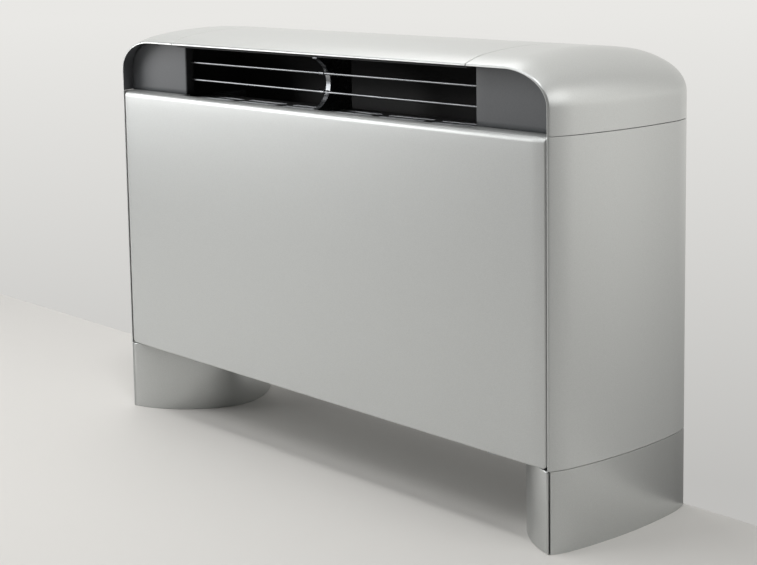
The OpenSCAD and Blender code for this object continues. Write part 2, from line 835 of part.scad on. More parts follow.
module front_panel() {
    z0 = foot_h + seam;
    y0 = front_y;
    round_x = front_half - panel_corner;
    round_z = z0 + panel_corner;
    color(silver) {
        upright(y0, y0 + sheet) {
            translate([-front_half, round_z]) square([2 * front_half, seam_z - roll_r - round_z]);
            translate([-round_x, z0]) square([2 * round_x, 2 * panel_corner]);
            for (s = [-1, 1])
                translate([s * round_x, round_z]) circle(panel_corner, $fn = hole_fn);
        }
        along_x(-front_half, front_half) {
            intersection() {
                translate([y0 + roll_r, seam_z - roll_r]) difference() {
                    circle(roll_r, $fn = round_fn);
                    circle(roll_r - sheet, $fn = round_fn);
                }
                translate([y0, seam_z - roll_r]) square(roll_r);
            }
        }
        along_x(-outlet_half, outlet_half) ledge_section(outlet_ledge);
        for (s = [0, 1]) mirror([s, 0, 0])
            along_x(outlet_half, front_half) ledge_section(ledge);
        box(-round_x, round_x, y0, y0 + panel_return, z0, z0 + sheet);
        for (s = [-1, 1])
            translate([s * (front_half - sheet / 2), 0, 0])
                box(-sheet / 2, sheet / 2, y0, y0 + panel_return, round_z, seam_z - roll_r);
    }
}

module front_insulation() {
    color(dark_grey)
        box(flange_w - end_half, end_half - flange_w, inner_front, inner_front + foam_t,
            rail_top, seam_z - 2 * roll_r);
}

module right_side_panel() {
    color(silver) side_panel();
}

module left_side_panel() {
    color(silver) left_of() side_panel();
}

module hood_centre() {
    color(silver) translate([0, 0, lip_z]) rotate([0, -90, 0])
        linear_extrude(2 * hood_half, center = true) cover_section(lip);
}

module hood_right_end() {
    color(silver) hood_end();
}

module hood_left_end() {
    color(silver) left_of() hood_end();
}

module right_outlet_blank() {
    color(dark_grey) outlet_blank();
}

module left_outlet_blank() {
    color(dark_grey) left_of() outlet_blank();
}

module lower_outlet_bar() {
    color(bright) outlet_bar(low_bar_z);
}

module upper_outlet_bar() {
    color(bright) outlet_bar(high_bar_z);
}

// Side view of the outlet's rib without its hollow edge
module rib_area() {
    translate([rib_tip, guard_z]) square([guard_end - rib_tip, rib_top - guard_z]);
}

// Rib that stiffens the outlet: a plate with a hollow flanged edge and a clip for each bar
module outlet_centre_rib() {
    clip_r = 1.6 * bar_r;
    color(bright) difference() {
        union() {
            along_x(-rib_t / 2, rib_t / 2) difference() {
                rib_area();
                translate([rib_y, rib_z]) circle(rib_r, $fn = round_fn);
            }
            along_x(-rib_flange_w / 2, rib_flange_w / 2) intersection() {
                translate([rib_y, rib_z]) difference() {
                    circle(rib_r + sheet, $fn = round_fn);
                    circle(rib_r, $fn = round_fn);
                }
                rib_area();
            }
            for (z = [low_bar_z, high_bar_z]) {
                translate([0, bar_y, z]) rod_x(clip_r, -rib_flange_w / 2, rib_flange_w / 2);
                box(-rib_t / 2, rib_t / 2, bar_y, rib_y + rib_r, z - bar_r, z + bar_r);
            }
        }
        for (z = [low_bar_z, high_bar_z])
            translate([0, bar_y, z]) rod_x(bar_r + fit / 2, -rib_flange_w, rib_flange_w);
    }
}

// Slotted plate across the bottom of the outlet, with a narrower tongue along the front panel
module outlet_guard() {
    tongue = outlet_half - fit;
    n = 2 * floor((end_half - slot_pitch / 4) / slot_pitch);
    color(black) translate([0, 0, guard_z - sheet]) linear_extrude(sheet) difference() {
        union() {
            translate([-end_half, guard_y]) square([2 * end_half, guard_end - guard_y]);
            translate([-tongue, guard_front]) square([2 * tongue, guard_y - guard_front + over]);
        }
        for (i = [0 : n - 1], r = [0, 1])
            translate([(i - (n - 1) / 2) * slot_pitch, front_y + slot_back + r * slot_row]) {
                square([slot_l - slot_w, slot_w], center = true);
                for (s = [-1, 1])
                    translate([s * (slot_l - slot_w) / 2, 0]) circle(slot_w / 2, $fn = hole_fn);
            }
    }
}

// Cheek that closes the end of the duct above the guard
module duct_cheek() {
    half = sheet / 2;
    back = duct_y + duct_r - half;
    translate([guard_y, guard_z]) square([back - guard_y, duct_z - guard_z]);
    translate([guard_y, guard_z]) square([duct_y - guard_y, rib_top + half - guard_z]);
    intersection() {
        translate([duct_y, duct_z]) circle(duct_r - half, $fn = round_fn);
        translate([duct_y - over, duct_z - over]) square(duct_r + over);
    }
}

// Bent sheet that turns the rising air forward to the outlet, with a cheek at each end
module outlet_duct() {
    low_z = coil_z + coil_h / 2 * cos(coil_lean) + tube_pitch / 2;
    color(black) along_x(-end_half, end_half) {
        intersection() {
            translate([duct_y, duct_z]) difference() {
                circle(duct_r, $fn = round_fn);
                circle(duct_r - sheet, $fn = round_fn);
            }
            translate([duct_y, duct_z]) square(duct_r);
        }
        translate([duct_side, rib_top]) square([duct_y - duct_side, sheet]);
        translate([duct_y + duct_r - sheet, low_z]) square([sheet, duct_z - low_z]);
    }
    color(black) box(fit - outlet_half, outlet_half - fit, duct_front, duct_side + fit, rib_top, duct_top);
    color(black) for (s = [0, 1]) mirror([s, 0, 0])
        along_x(end_half - sheet, end_half) duct_cheek();
}

module right_foot_outer() {
    color(silver) foot_outer();
}

module left_foot_outer() {
    color(silver) left_of() foot_outer();
}

module right_foot_inner() {
    color(silver) foot_inner();
}

module left_foot_inner() {
    color(silver) left_of() foot_inner();
}

// Back panel, with its wall fixing holes and the opening for the pipes
module back_panel() {
    half = half_w - edge_wall - fit;
    right = hood_outline(half_d, edge_wall + fit, hood_half);
    left = [for (i = [len(right) - 1 : -1 : 0]) [-right[i][0], right[i][1]]];
    pipe_x = rear_header_x + pipe_side;
    pipe_z = header_z(1, -1) - pipe_room;
    pipe_w = rear_header_x - front_header_x + 2 * pipe_side;
    pipe_h = header_z(-1, 1) + pipe_room - pipe_z;
    color(galvanised) upright(inner_back, half_d) difference() {
        polygon(concat(right, [[half, foot_h], [-half, foot_h]], left));
        for (s = [-1, 1])
            translate([s * wall_hole_x, wall_hole_z]) circle(wall_hole_r, $fn = hole_fn);
        translate([-pipe_x, pipe_z]) square([pipe_w, pipe_h]);
    }
}

module right_end_plate() {
    color(galvanised) end_plate();
}

// The left end plate is open where the coil's tubes and the drain spout pass through
module left_end_plate() {
    color(galvanised) difference() {
        left_of() end_plate();
        in_coil() box(-2 * end_half, 0, -coil_t / 2, coil_t / 2, -coil_h / 2, coil_h / 2);
        translate([0, spout_y, spout_z]) rod_x(spout_r + fit, -2 * end_half, 0);
    }
}

module front_base_rail() {
    color(galvanised) base_rail(front_rail_y);
}

module rear_base_rail() {
    color(galvanised) base_rail(rear_rail_y);
}

module right_filter_guide() {
    color(galvanised) filter_guide();
}

module left_filter_guide() {
    color(galvanised) left_of() filter_guide();
}

// Deck over the fans, open above each housing's neck
module fan_deck() {
    lead = fan_y + scroll_point(tongue_angle, 0)[0];
    back = fan_y + scroll_back;
    color(galvanised) difference() {
        box(-end_half, end_half, inner_front + foam_t + fit, inner_back, deck_z, deck_top);
        for (s = [0, 1]) mirror([s, 0, 0])
            box(housing_in + sheet, housing_out - sheet, lead + sheet, back - sheet,
                deck_z - over, deck_top + over);
        for (s = [-1, 1], t = [-1, 1])
            translate([s * motor_screw_x, fan_y + t * motor_screw_y, deck_z - over])
                cylinder(r = screw_hole_r, h = screw_l, $fn = hole_fn);
    }
}

module right_fan_housing() {
    color(galvanised) fan_housing();
}

module left_fan_housing() {
    color(galvanised) left_of() fan_housing();
}

// Motor: a finned body with a boss at each end that holds a bearing
module fan_motor() {
    groove_n = 7;
    groove = 3;
    color(black) translate([0, fan_y, fan_z]) difference() {
        union() {
            rod_x(motor_r, -motor_half, motor_half);
            rod_x(boss_r, -boss_end, boss_end);
        }
        for (i = [1 : groove_n])
            translate([(i / (groove_n + 1) - 0.5) * motor_l - groove / 2, 0, 0]) difference() {
                rod_x(motor_r + over, 0, groove);
                rod_x(motor_r - groove, -over, groove + over);
            }
        rod_x(shaft_r + running, -2 * boss_end, 2 * boss_end);
        for (s = [0, 1]) mirror([s, 0, 0])
            rod_x(bearing_r + running, boss_end - bearing_l, boss_end + over);
    }
}

module right_motor_bracket() {
    color(galvanised) motor_bracket();
}

module left_motor_bracket() {
    color(galvanised) left_of() motor_bracket();
}

module right_motor_ring() {
    color(black) motor_ring();
}

module left_motor_ring() {
    color(black) left_of() motor_ring();
}

module right_shaft_bearing() {
    color(bright) shaft_bearing();
}

module left_shaft_bearing() {
    color(bright) left_of() shaft_bearing();
}

module fan_shaft() {
    color(bright) translate([0, fan_y, fan_z]) rod_x(shaft_r, -shaft_half, shaft_half);
}

module right_fan_wheel() {
    color(galvanised) fan_wheel();
}

module left_fan_wheel() {
    color(galvanised) left_of() fan_wheel();
}

module coil_fins() {
    color(bright) in_coil()
        for (i = [0 : fin_n - 1])
            translate([(i - (fin_n - 1) / 2) * fin_pitch, 0, 0])
                along_x(-fin_t / 2, fin_t / 2) coil_section(-fit);
}

// Hairpin tubes: one leg in each row, joined by a bend at the right
module coil_tubes() {
    color(copper) in_coil() for (u = tube_up) translate([0, 0, u]) {
        translate([0, -tube_pitch / 2, 0]) rod_x(tube_r, header_r - front_header_x - header_wall, bend_x);
        translate([0, tube_pitch / 2, 0]) rod_x(tube_r, header_r - rear_header_x - header_wall, bend_x);
        translate([bend_x, 0, 0]) rotate([0, 0, -90])
            rotate_extrude(angle = 180, $fn = round_fn)
                translate([tube_pitch / 2, 0]) circle(tube_r, $fn = hole_fn);
    }
}

module coil_right_plate() {
    color(galvanised) coil_plate();
}

module coil_left_plate() {
    color(galvanised) left_of() coil_plate();
}

module front_header() {
    color(copper) header(-1, front_header_x, 1);
}

module rear_header() {
    color(copper) header(1, rear_header_x, -1);
}

// Bleed valve on the upper end of the front header
module air_vent() {
    vent_r = 5;
    vent_l = 12;
    color(brass) in_coil() translate([-front_header_x, -tube_pitch / 2, header_end]) {
        cylinder(r = vent_r, h = vent_l, $fn = 6);
        cylinder(r = vent_r / 2, h = vent_l + vent_r, $fn = hole_fn);
    }
}

// Tray that catches the water under the coil's lower edge
module drain_pan() {
    inner = pan_half - pan_wall;
    color(black) difference() {
        box(-pan_half, pan_half, pan_y, pan_y + pan_w, deck_top, deck_top + pan_h);
        box(-inner, inner, pan_y + pan_wall, pan_y + pan_w - pan_wall,
            deck_top + pan_wall, deck_top + pan_h + over);
        translate([0, spout_y, spout_z]) rod_x(spout_r + fit, -end_half, 0);
    }
}

module drain_spout() {
    inner = pan_wall - pan_half;
    outer = -pan_half - spout_l;
    color(black) translate([0, spout_y, spout_z]) difference() {
        rod_x(spout_r, outer, inner);
        rod_x(spout_r - pan_wall, outer - over, inner + over);
    }
}

// Open box for the electrical terminals on the right end plate
module terminal_box() {
    half = box_w / 2;
    inner = half - box_wall;
    color(dark_grey) difference() {
        box(box_x, cover_x, -half, half, deck_top, deck_top + box_h);
        box(box_x + box_wall, cover_x + over, -inner, inner,
            deck_top + box_wall, deck_top + box_h - box_wall);
        translate([box_x + box_out / 2, 0, deck_top - over])
            cylinder(r = gland_r - box_wall, h = 3 * box_wall, $fn = hole_fn);
    }
    color(dark_grey) for (p = post_at) translate([0, p[0], p[1]]) cover_post();
}

// Corner post that takes a cover screw
module cover_post() {
    half = post_w / 2 + fit;
    difference() {
        box(box_x, cover_x, -half, half, -half, half);
        rod_x(screw_hole_r, box_x + box_out / 2, cover_x + over);
    }
}

module terminal_cover() {
    color(dark_grey) difference() {
        box(cover_x, cover_x + box_wall, -box_w / 2, box_w / 2, deck_top, deck_top + box_h);
        for (p = post_at)
            translate([0, p[0], p[1]]) rod_x(screw_hole_r, cover_x - over, cover_x + box_wall + over);
    }
}

// Row of screw terminals on the floor of the box
module terminal_block() {
    n = 8;
    pitch = 9;
    x0 = box_x + box_wall;
    block_h = 18;
    block_out = 14;
    z0 = post_mid_z;
    color(bright) difference() {
        box(x0, x0 + block_out, -n * pitch / 2, n * pitch / 2, z0, z0 + block_h);
        for (i = [0 : n - 1], z = [z0 + block_h / 4, z0 + 3 * block_h / 4])
            translate([0, (i - (n - 1) / 2) * pitch, z])
                rod_x(pitch / 3, x0 + block_out / 2, x0 + block_out + over);
    }
}

// Gland in the bottom of the terminal box
module cable_gland() {
    nut_h = 6;
    nut_rim = 2;
    dome_h = 12;
    neck_l = 4 * box_wall;
    color(black) translate([box_x + box_out / 2, 0, deck_top]) difference() {
        union() {
            translate([0, 0, -nut_h]) {
                cylinder(r = gland_r + nut_rim, h = nut_h, $fn = 6);
                cylinder(r = gland_r - box_wall - fit, h = nut_h + neck_l, $fn = hole_fn);
            }
            translate([0, 0, -nut_h - dome_h])
                cylinder(r = gland_r - nut_rim / 2, h = dome_h, $fn = hole_fn);
        }
        translate([0, 0, -nut_h - dome_h - over])
            cylinder(r = gland_hole_r, h = nut_h + dome_h + neck_l + 2 * over, $fn = hole_fn);
    }
}

// Filter frame with a rim, cross ribs under the medium and a pull tab
module filter_frame() {
    rib_n = 5;
    tab_w = 80;
    tab_d = 8;
    floor_t = (filter_t - medium_t) / 2;
    inner = filter_half - filter_border;
    color(black) {
        difference() {
            box(-filter_half, filter_half, filter_y, filter_end, filter_z, filter_z + filter_t);
            box(-inner, inner, filter_y + filter_border, filter_end - filter_border,
                filter_z - over, filter_z + filter_t + over);
        }
        for (i = [1 : rib_n])
            translate([(2 * i / (rib_n + 1) - 1) * inner, 0, 0])
                box(-filter_rib / 2, filter_rib / 2, filter_y + filter_border / 2,
                    filter_end - filter_border / 2, filter_z, filter_z + floor_t);
        box(-tab_w / 2, tab_w / 2, filter_y - tab_d, filter_y, filter_z, filter_z + floor_t);
    }
}

module filter_medium() {
    inset = filter_border + fit;
    inner = filter_half - inset;
    z0 = filter_z + (filter_t - medium_t) / 2;
    color(galvanised)
        box(-inner, inner, filter_y + inset, filter_end - inset, z0, z0 + medium_t);
}

module foot_screws() {
    color(bright) for (p = foot_screw_at)
        translate([p[0], p[1], rail_top]) screw(rail_h + 2 * foot_wall);
}

module end_plate_screws() {
    color(bright) for (p = plate_screw_at)
        translate([p[0], p[1], rail_top + sheet]) screw(screw_l);
}

module motor_screws() {
    color(bright) for (s = [-1, 1], t = [-1, 1])
        translate([s * motor_screw_x, fan_y + t * motor_screw_y, deck_top]) screw(screw_l);
}

module cover_screws() {
    color(bright) for (p = post_at)
        translate([cover_x + box_wall, p[0], p[1]]) rotate([0, 90, 0]) screw(3 * head_r);
}

front_panel();
front_insulation();
left_side_panel();
right_side_panel();
hood_centre();
hood_left_end();
hood_right_end();
left_outlet_blank();
right_outlet_blank();
lower_outlet_bar();
upper_outlet_bar();
outlet_centre_rib();
outlet_guard();
outlet_duct();
left_foot_outer();
left_foot_inner();
right_foot_outer();
right_foot_inner();
back_panel();
left_end_plate();
right_end_plate();
front_base_rail();
rear_base_rail();
left_filter_guide();
right_filter_guide();
fan_deck();
left_fan_housing();
right_fan_housing();
fan_motor();
left_motor_bracket();
right_motor_bracket();
left_motor_ring();
right_motor_ring();
left_shaft_bearing();
right_shaft_bearing();
fan_shaft();
left_fan_wheel();
right_fan_wheel();
coil_fins();
coil_tubes();
coil_left_plate();
coil_right_plate();
front_header();
rear_header();
air_vent();
drain_pan();
drain_spout();
terminal_box();
terminal_cover();
terminal_block();
cable_gland();
filter_frame();
filter_medium();
foot_screws();
end_plate_screws();
motor_screws();
cover_screws();
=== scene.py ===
"""Looks of a floor-standing fan coil unit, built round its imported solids.

The covers, feet, end blanks and slot rims are surfaces worked out with numpy. All other pieces keep their
solids and get finishes. Lengths are in metres. +X is to the right seen from the front, +Y is towards the
wall, +Z is up.
"""

import json
import math

import bmesh
import bpy
import numpy as np
from mathutils import Matrix, Vector


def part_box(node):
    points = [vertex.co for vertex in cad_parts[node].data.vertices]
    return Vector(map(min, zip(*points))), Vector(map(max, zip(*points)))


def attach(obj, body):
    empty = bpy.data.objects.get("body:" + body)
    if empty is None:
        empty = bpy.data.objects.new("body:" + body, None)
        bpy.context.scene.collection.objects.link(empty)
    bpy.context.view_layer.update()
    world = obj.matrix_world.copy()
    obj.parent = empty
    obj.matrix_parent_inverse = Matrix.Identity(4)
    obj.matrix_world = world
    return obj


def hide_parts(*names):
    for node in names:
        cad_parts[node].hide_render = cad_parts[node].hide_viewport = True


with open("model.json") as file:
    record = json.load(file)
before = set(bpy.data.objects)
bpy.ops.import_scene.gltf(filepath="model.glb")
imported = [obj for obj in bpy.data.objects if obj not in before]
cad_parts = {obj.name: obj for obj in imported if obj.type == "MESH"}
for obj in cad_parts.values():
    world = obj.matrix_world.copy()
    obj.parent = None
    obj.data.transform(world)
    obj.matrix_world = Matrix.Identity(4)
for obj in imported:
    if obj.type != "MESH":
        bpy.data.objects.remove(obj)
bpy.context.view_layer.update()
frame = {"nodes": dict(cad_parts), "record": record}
scene = bpy.context.scene
MM = 0.001

# Cabinet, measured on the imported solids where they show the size
HALF_W = 400 * MM
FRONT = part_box("front_panel")[0].y
HALF_D = -FRONT
SEAM_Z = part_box("front_panel")[1].z
FOOT_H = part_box("left_foot_outer")[1].z
HOOD_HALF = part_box("hood_centre")[1].x
LIP_Z = SEAM_Z + 70 * MM
SKIN = 2.5 * MM
SHEET = 1.2 * MM
INNER_BACK = HALF_D - SHEET
HOOD_SEAM = 1.2 * MM
SIDE_SEAM = 0.5 * MM
FIT = 0.3 * MM
COVER_EDGE = 1.2 * MM
COVER_ROUND = 0.5 * MM
HOOD_ROUND = 0.4 * MM
REAR_FLANGE = 12 * MM

# Swollen skin: a long middle arc that runs smoothly into a tight arc at each edge
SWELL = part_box("right_side_panel")[1].x - HALF_W
EDGE_SLOPE = math.radians(24)
MID_SLOPE = math.radians(8)
SLOPE_STEP = math.sin(EDGE_SLOPE) - math.sin(MID_SLOPE)
COS_STEP = math.cos(MID_SLOPE) - math.cos(EDGE_SLOPE)
SLOPE_DET = math.sin(MID_SLOPE) * COS_STEP - SLOPE_STEP * (1 - math.cos(MID_SLOPE))
MID_R = (HALF_D * COS_STEP - SLOPE_STEP * SWELL) / SLOPE_DET
EDGE_R = (math.sin(MID_SLOPE) * SWELL - (1 - math.cos(MID_SLOPE)) * HALF_D) / SLOPE_DET
EDGE_LEN = EDGE_R * SLOPE_STEP

# Hood and outlet
CORNER_W = 66 * MM
CORNER_H = 40 * MM
LIP_DEPTH = 5 * MM
LIP_EDGE = 1.8 * MM
OUTLET_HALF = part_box("right_outlet_blank")[0].x
BLANK_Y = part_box("right_outlet_blank")[0].y
BLANK_END_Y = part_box("right_outlet_blank")[1].y
BLANK_WALL = 2 * MM
BLANK_EDGE = 1.5 * MM
OUTLET_LEDGE = 12 * MM

# Feet: an outer shell below the side panel, and an inner shell whose front lip covers the outer one's edge
FOOT_WALL = 3 * MM
FOOT_FLANGE = 0.5 * MM
FOOT_EDGE = 0.6 * MM
FOOT_LIP = 1.2 * MM
FOOT_GROOVE = 1.2 * MM
FOOT_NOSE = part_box("right_foot_inner")[0].x
NOSE_R = 70 * MM
# Half the angle that the round nose takes up, in degrees
NOSE_HALF = 20.5

# Picture frame and camera, fitted to the edges in the photo; angles in degrees
PICTURE_W = 757
CAMERA_AT = (1.5563, -1.3750, 0.6657)
CAMERA_YAW = 48.441
CAMERA_PITCH = 7.518
CAMERA_ROLL = -0.892
FOCAL_PIXELS = 1655.4
SENSOR_MM = 36.0
SHIFT_Y = -0.1750


def linear(hex_colour):
    """Turns an sRGB hex colour such as "#c8c8c8" into linear red, green, blue and alpha."""
    srgb = np.array([int(hex_colour[i : i + 2], 16) for i in (1, 3, 5)]) / 255
    low = srgb / 12.92
    high = ((srgb + 0.055) / 1.055) ** 2.4
    return (*np.where(srgb <= 0.04045, low, high).tolist(), 1.0)


def add(tree, kind, settings=None, links=None):
    """Adds one shader node: settings go to its properties or sockets, links join outputs to its sockets."""
    made = tree.nodes.new(kind)
    for key, value in (settings or {}).items():
        if isinstance(key, str) and hasattr(made, key):
            setattr(made, key, value)
        else:
            made.inputs[key].default_value = value
    for key, source in (links or {}).items():
        tree.links.new(source, made.inputs[key])
    return made


def start_material(name, colour, rough, metallic=0.0, **sockets):
    """Starts a material with constants on the shader's own sockets; returns it, its tree and its shader."""
    made = bpy.data.materials.new(name)
    made.use_nodes = True
    tree = made.node_tree
    shader = tree.nodes["Principled BSDF"]
    shader.inputs["Base Color"].default_value = linear(colour)
    shader.inputs["Roughness"].default_value = rough
    shader.inputs["Metallic"].default_value = metallic
    for socket, value in sockets.items():
        shader.inputs[socket.replace("_", " ")].default_value = value
    return made, tree, shader


def noise_of_size(tree, size_mm, detail=2.0, stretch=(1, 1, 1)):
    """Noise in Object coordinates whose features are size_mm wide, divided along each axis by stretch."""
    coords = add(tree, "ShaderNodeTexCoord")
    mapping = add(tree, "ShaderNodeMapping", {"Scale": stretch}, {"Vector": coords.outputs["Object"]})
    return add(tree, "ShaderNodeTexNoise", {"Scale": 1000 / size_mm, "Detail": detail},
               {"Vector": mapping.outputs["Vector"]})


def tint(tree, shader, factor, low, high):
    """Runs the base colour from low to high along a factor between 0.3 and 0.7."""
    ramp = add(tree, "ShaderNodeValToRGB", links={"Fac": factor})
    ramp.color_ramp.elements[0].position = 0.3
    ramp.color_ramp.elements[0].color = linear(low)
    ramp.color_ramp.elements[1].position = 0.7
    ramp.color_ramp.elements[1].color = linear(high)
    tree.links.new(ramp.outputs["Color"], shader.inputs["Base Color"])


def vary_roughness(tree, shader, factor, low, high):
    """Runs the roughness from low to high along a factor."""
    spread = add(tree, "ShaderNodeMapRange", {"To Min": low, "To Max": high}, {"Value": factor})
    tree.links.new(spread.outputs["Result"], shader.inputs["Roughness"])


def relief(tree, shader, height, depth_mm, strength):
    """Bumps the surface by a height field of a real depth."""
    bump = add(tree, "ShaderNodeBump", {"Strength": strength, "Distance": depth_mm * MM},
               {"Height": height})
    tree.links.new(bump.outputs["Normal"], shader.inputs["Normal"])


def metallic_paint(name, low, high, rough, metallic):
    """Sprayed satin metallic paint: aluminium flakes give a soft, wide sheen and a faint sparkle.
    The flakes are about 0.05 mm; they are drawn at 0.9 mm so that they show."""
    made, tree, shader = start_material(name, high, rough, metallic)
    flakes = noise_of_size(tree, 0.9, 1.0)
    tint(tree, shader, flakes.outputs["Fac"], low, high)
    relief(tree, shader, flakes.outputs["Fac"], 0.02, 0.10)
    return made


def moulded_plastic(name, low, high, rough, grain_mm=0.8, depth_mm=0.05):
    """Moulded plastic, rubber or stoved paint with a fine grain: dull and even, with a broad highlight."""
    made, tree, shader = start_material(name, high, rough, 0.0, IOR=1.5)
    grain = noise_of_size(tree, grain_mm)
    tint(tree, shader, grain.outputs["Fac"], low, high)
    relief(tree, shader, grain.outputs["Fac"], depth_mm, 0.3)
    return made


def drawn_metal(name, low, high, rough_low, rough_high, streak_mm, stretch):
    """Drawn or rolled bare metal: streaks along the working direction vary its colour and gloss."""
    made, tree, shader = start_material(name, high, rough_low, 1.0)
    streaks = noise_of_size(tree, streak_mm, 3.0, stretch)
    tint(tree, shader, streaks.outputs["Fac"], low, high)
    vary_roughness(tree, shader, streaks.outputs["Fac"], rough_low, rough_high)
    return made


def galvanised_sheet():
    """Hot-dip galvanised steel: zinc crystals about 9 mm across, each with its own grey and gloss."""
    made, tree, shader = start_material("galvanised_steel", "#a9adb0", 0.4, 0.9)
    coords = add(tree, "ShaderNodeTexCoord")
    crystals = add(tree, "ShaderNodeTexVoronoi", {"Scale": 1000 / 9}, {"Vector": coords.outputs["Object"]})
    shade = add(tree, "ShaderNodeSeparateColor", links={"Color": crystals.outputs["Color"]})
    tint(tree, shader, shade.outputs["Red"], "#9ea2a5", "#adb1b4")
    vary_roughness(tree, shader, shade.outputs["Green"], 0.32, 0.5)
    return made


def filter_cloth():
    """Woven polypropylene filter net: a 3 mm weave of fine threads that reads as a pale grey mesh."""
    made, tree, shader = start_material("woven_polypropylene", "#b9bcbb", 0.8, Sheen_Weight=0.3)
    coords = {"Vector": add(tree, "ShaderNodeTexCoord").outputs["Object"]}
    thread = {"wave_type": "BANDS", "Scale": 1000 / (3 * 2 * math.pi) * 2}
    across = add(tree, "ShaderNodeTexWave", {**thread, "bands_direction": "X"}, coords)
    along = add(tree, "ShaderNodeTexWave", {**thread, "bands_direction": "Y"}, coords)
    weave = add(tree, "ShaderNodeMath", {"operation": "MAXIMUM"},
                {0: across.outputs["Fac"], 1: along.outputs["Fac"]})
    tint(tree, shader, weave.outputs["Value"], "#6f7372", "#c3c6c5")
    relief(tree, shader, weave.outputs["Value"], 0.5, 0.6)
    return made


def closed_cell_foam():
    """Closed-cell polyethylene foam: dark grey, dull, with cells about 1.5 mm wide."""
    made, tree, shader = start_material("polyethylene_foam", "#3a3b3d", 0.9)
    coords = add(tree, "ShaderNodeTexCoord")
    cells = add(tree, "ShaderNodeTexVoronoi", {"Scale": 1000 / 1.5}, {"Vector": coords.outputs["Object"]})
    tint(tree, shader, cells.outputs["Distance"], "#2e2f31", "#454648")
    relief(tree, shader, cells.outputs["Distance"], 0.4, 0.5)
    return made


# One finish for each material slot of the record
FINISHES = {
    "silver_paint": metallic_paint("silver_metallic_paint", "#bfc1c0", "#c7c9c8", 0.40, 0.75),
    "foot_plastic": metallic_paint("silver_foot_paint", "#bcbebd", "#c4c6c5", 0.30, 0.9),
    "grey_plastic": moulded_plastic("grey_abs", "#56585a", "#5f6164", 0.5),
    "bright_steel": drawn_metal("bright_drawn_steel", "#6f7174", "#8b8d8f", 0.22, 0.35, 2.0, (0.05, 1, 1)),
    "black_paint": moulded_plastic("black_stoved_paint", "#202021", "#272728", 0.65, 1.5, 0.03),
    "galvanised_steel": galvanised_sheet(),
    "insulation_foam": closed_cell_foam(),
    "rubber": moulded_plastic("black_rubber", "#1b1b1c", "#232324", 0.8, 2.0, 0.08),
    "wheel_aluminium": drawn_metal("rolled_aluminium", "#aeb1b4", "#c6c9cb", 0.3, 0.45, 3.0, (0.1, 1, 1)),
    "fin_aluminium": drawn_metal("fin_aluminium", "#b9bcbf", "#d2d5d7", 0.25, 0.4, 3.0, (1, 1, 0.1)),
    "copper": drawn_metal("drawn_copper", "#a5623f", "#c98258", 0.25, 0.42, 6.0, (0.15, 1, 1)),
    "brass": drawn_metal("turned_brass", "#b08a45", "#d0ab60", 0.22, 0.35, 2.0, (1, 1, 1)),
    "black_plastic": moulded_plastic("black_polypropylene", "#161617", "#1e1e1f", 0.55),
    "box_plastic": moulded_plastic("grey_polycarbonate", "#6d7073", "#787b7e", 0.45),
    "terminal_plastic": moulded_plastic("white_polyamide", "#d5d3cb", "#e0ded7", 0.4),
    "filter_fabric": filter_cloth(),
    "screw_steel": drawn_metal("zinc_plated_steel", "#b4b7b9", "#d0d3d4", 0.25, 0.4, 1.0, (1, 1, 1)),
}


def swell_at(y):
    """Swell of the skin at depth y: the tight edge arc near the front and back, else the middle arc."""
    from_edge = HALF_D - np.abs(y)
    slope = np.arcsin(np.clip(math.sin(EDGE_SLOPE) - from_edge / EDGE_R, -1, 1))
    edge = EDGE_R * (np.cos(slope) - math.cos(EDGE_SLOPE))
    middle = SWELL - MID_R + np.sqrt(MID_R**2 - y**2)
    return np.where(from_edge < EDGE_LEN, edge, middle)


def arc(centre, radius, start, end, count=7):
    """Points on a circle from one angle to another, in degrees, as an array of shape (count, 2)."""
    a = np.radians(np.linspace(start, end, count))
    return np.stack([centre[0] + radius * np.cos(a), centre[1] + radius * np.sin(a)], -1)


def new_piece(name, points, faces, finishes):
    """Makes a mesh object at the origin from points and faces, with its normals turned outwards."""
    mesh = bpy.data.meshes.new(name)
    mesh.from_pydata(points.tolist(), [], faces)
    shell = bmesh.new()
    shell.from_mesh(mesh)
    bmesh.ops.remove_doubles(shell, verts=shell.verts, dist=1e-6)
    bmesh.ops.recalc_face_normals(shell, faces=shell.faces)
    shell.to_mesh(mesh)
    shell.free()
    mesh.shade_smooth()
    for finish in finishes:
        mesh.materials.append(FINISHES[finish])
    made = bpy.data.objects.new(name, mesh)
    scene.collection.objects.link(made)
    return made


def grid_faces(rows, columns, closed=False):
    """Quads of a grid with that many rows and columns; closed joins the last column to the first."""
    i, j = np.meshgrid(np.arange(rows - 1), np.arange(columns if closed else columns - 1), indexing="ij")
    k = (j + 1) % columns
    quads = np.stack([i * columns + j, i * columns + k, (i + 1) * columns + k, (i + 1) * columns + j], -1)
    return quads.reshape(-1, 4).tolist()


def sweep(name, rings, finishes, inside=None):
    """Closed solid from rings of points, of shape (rings, points, 3), joined in turn and capped at both
    ends. The columns of faces from inside[0] up to inside[1] get the second finish."""
    rows, columns = rings.shape[:2]
    faces = grid_faces(rows, columns, closed=True)
    faces.append(list(range(columns)))
    faces.append(list(range((rows - 1) * columns, rows * columns)))
    made = new_piece(name, rings.reshape(-1, 3), faces, finishes)
    if inside:
        column = np.append(np.tile(np.arange(columns), rows - 1), (0, 0))
        second = (column >= inside[0]) & (column < inside[1])
        made.data.polygons.foreach_set("material_index", second.astype(np.int32))
    return made


def round_edges(piece, width):
    """Rounds the edges where the surface turns by more than 35 degrees, by a real width."""
    bevel = piece.modifiers.new("edges", "BEVEL")
    bevel.width = width
    bevel.segments = 2
    bevel.limit_method = "ANGLE"
    bevel.angle_limit = math.radians(35)
    bevel.harden_normals = True
    return piece


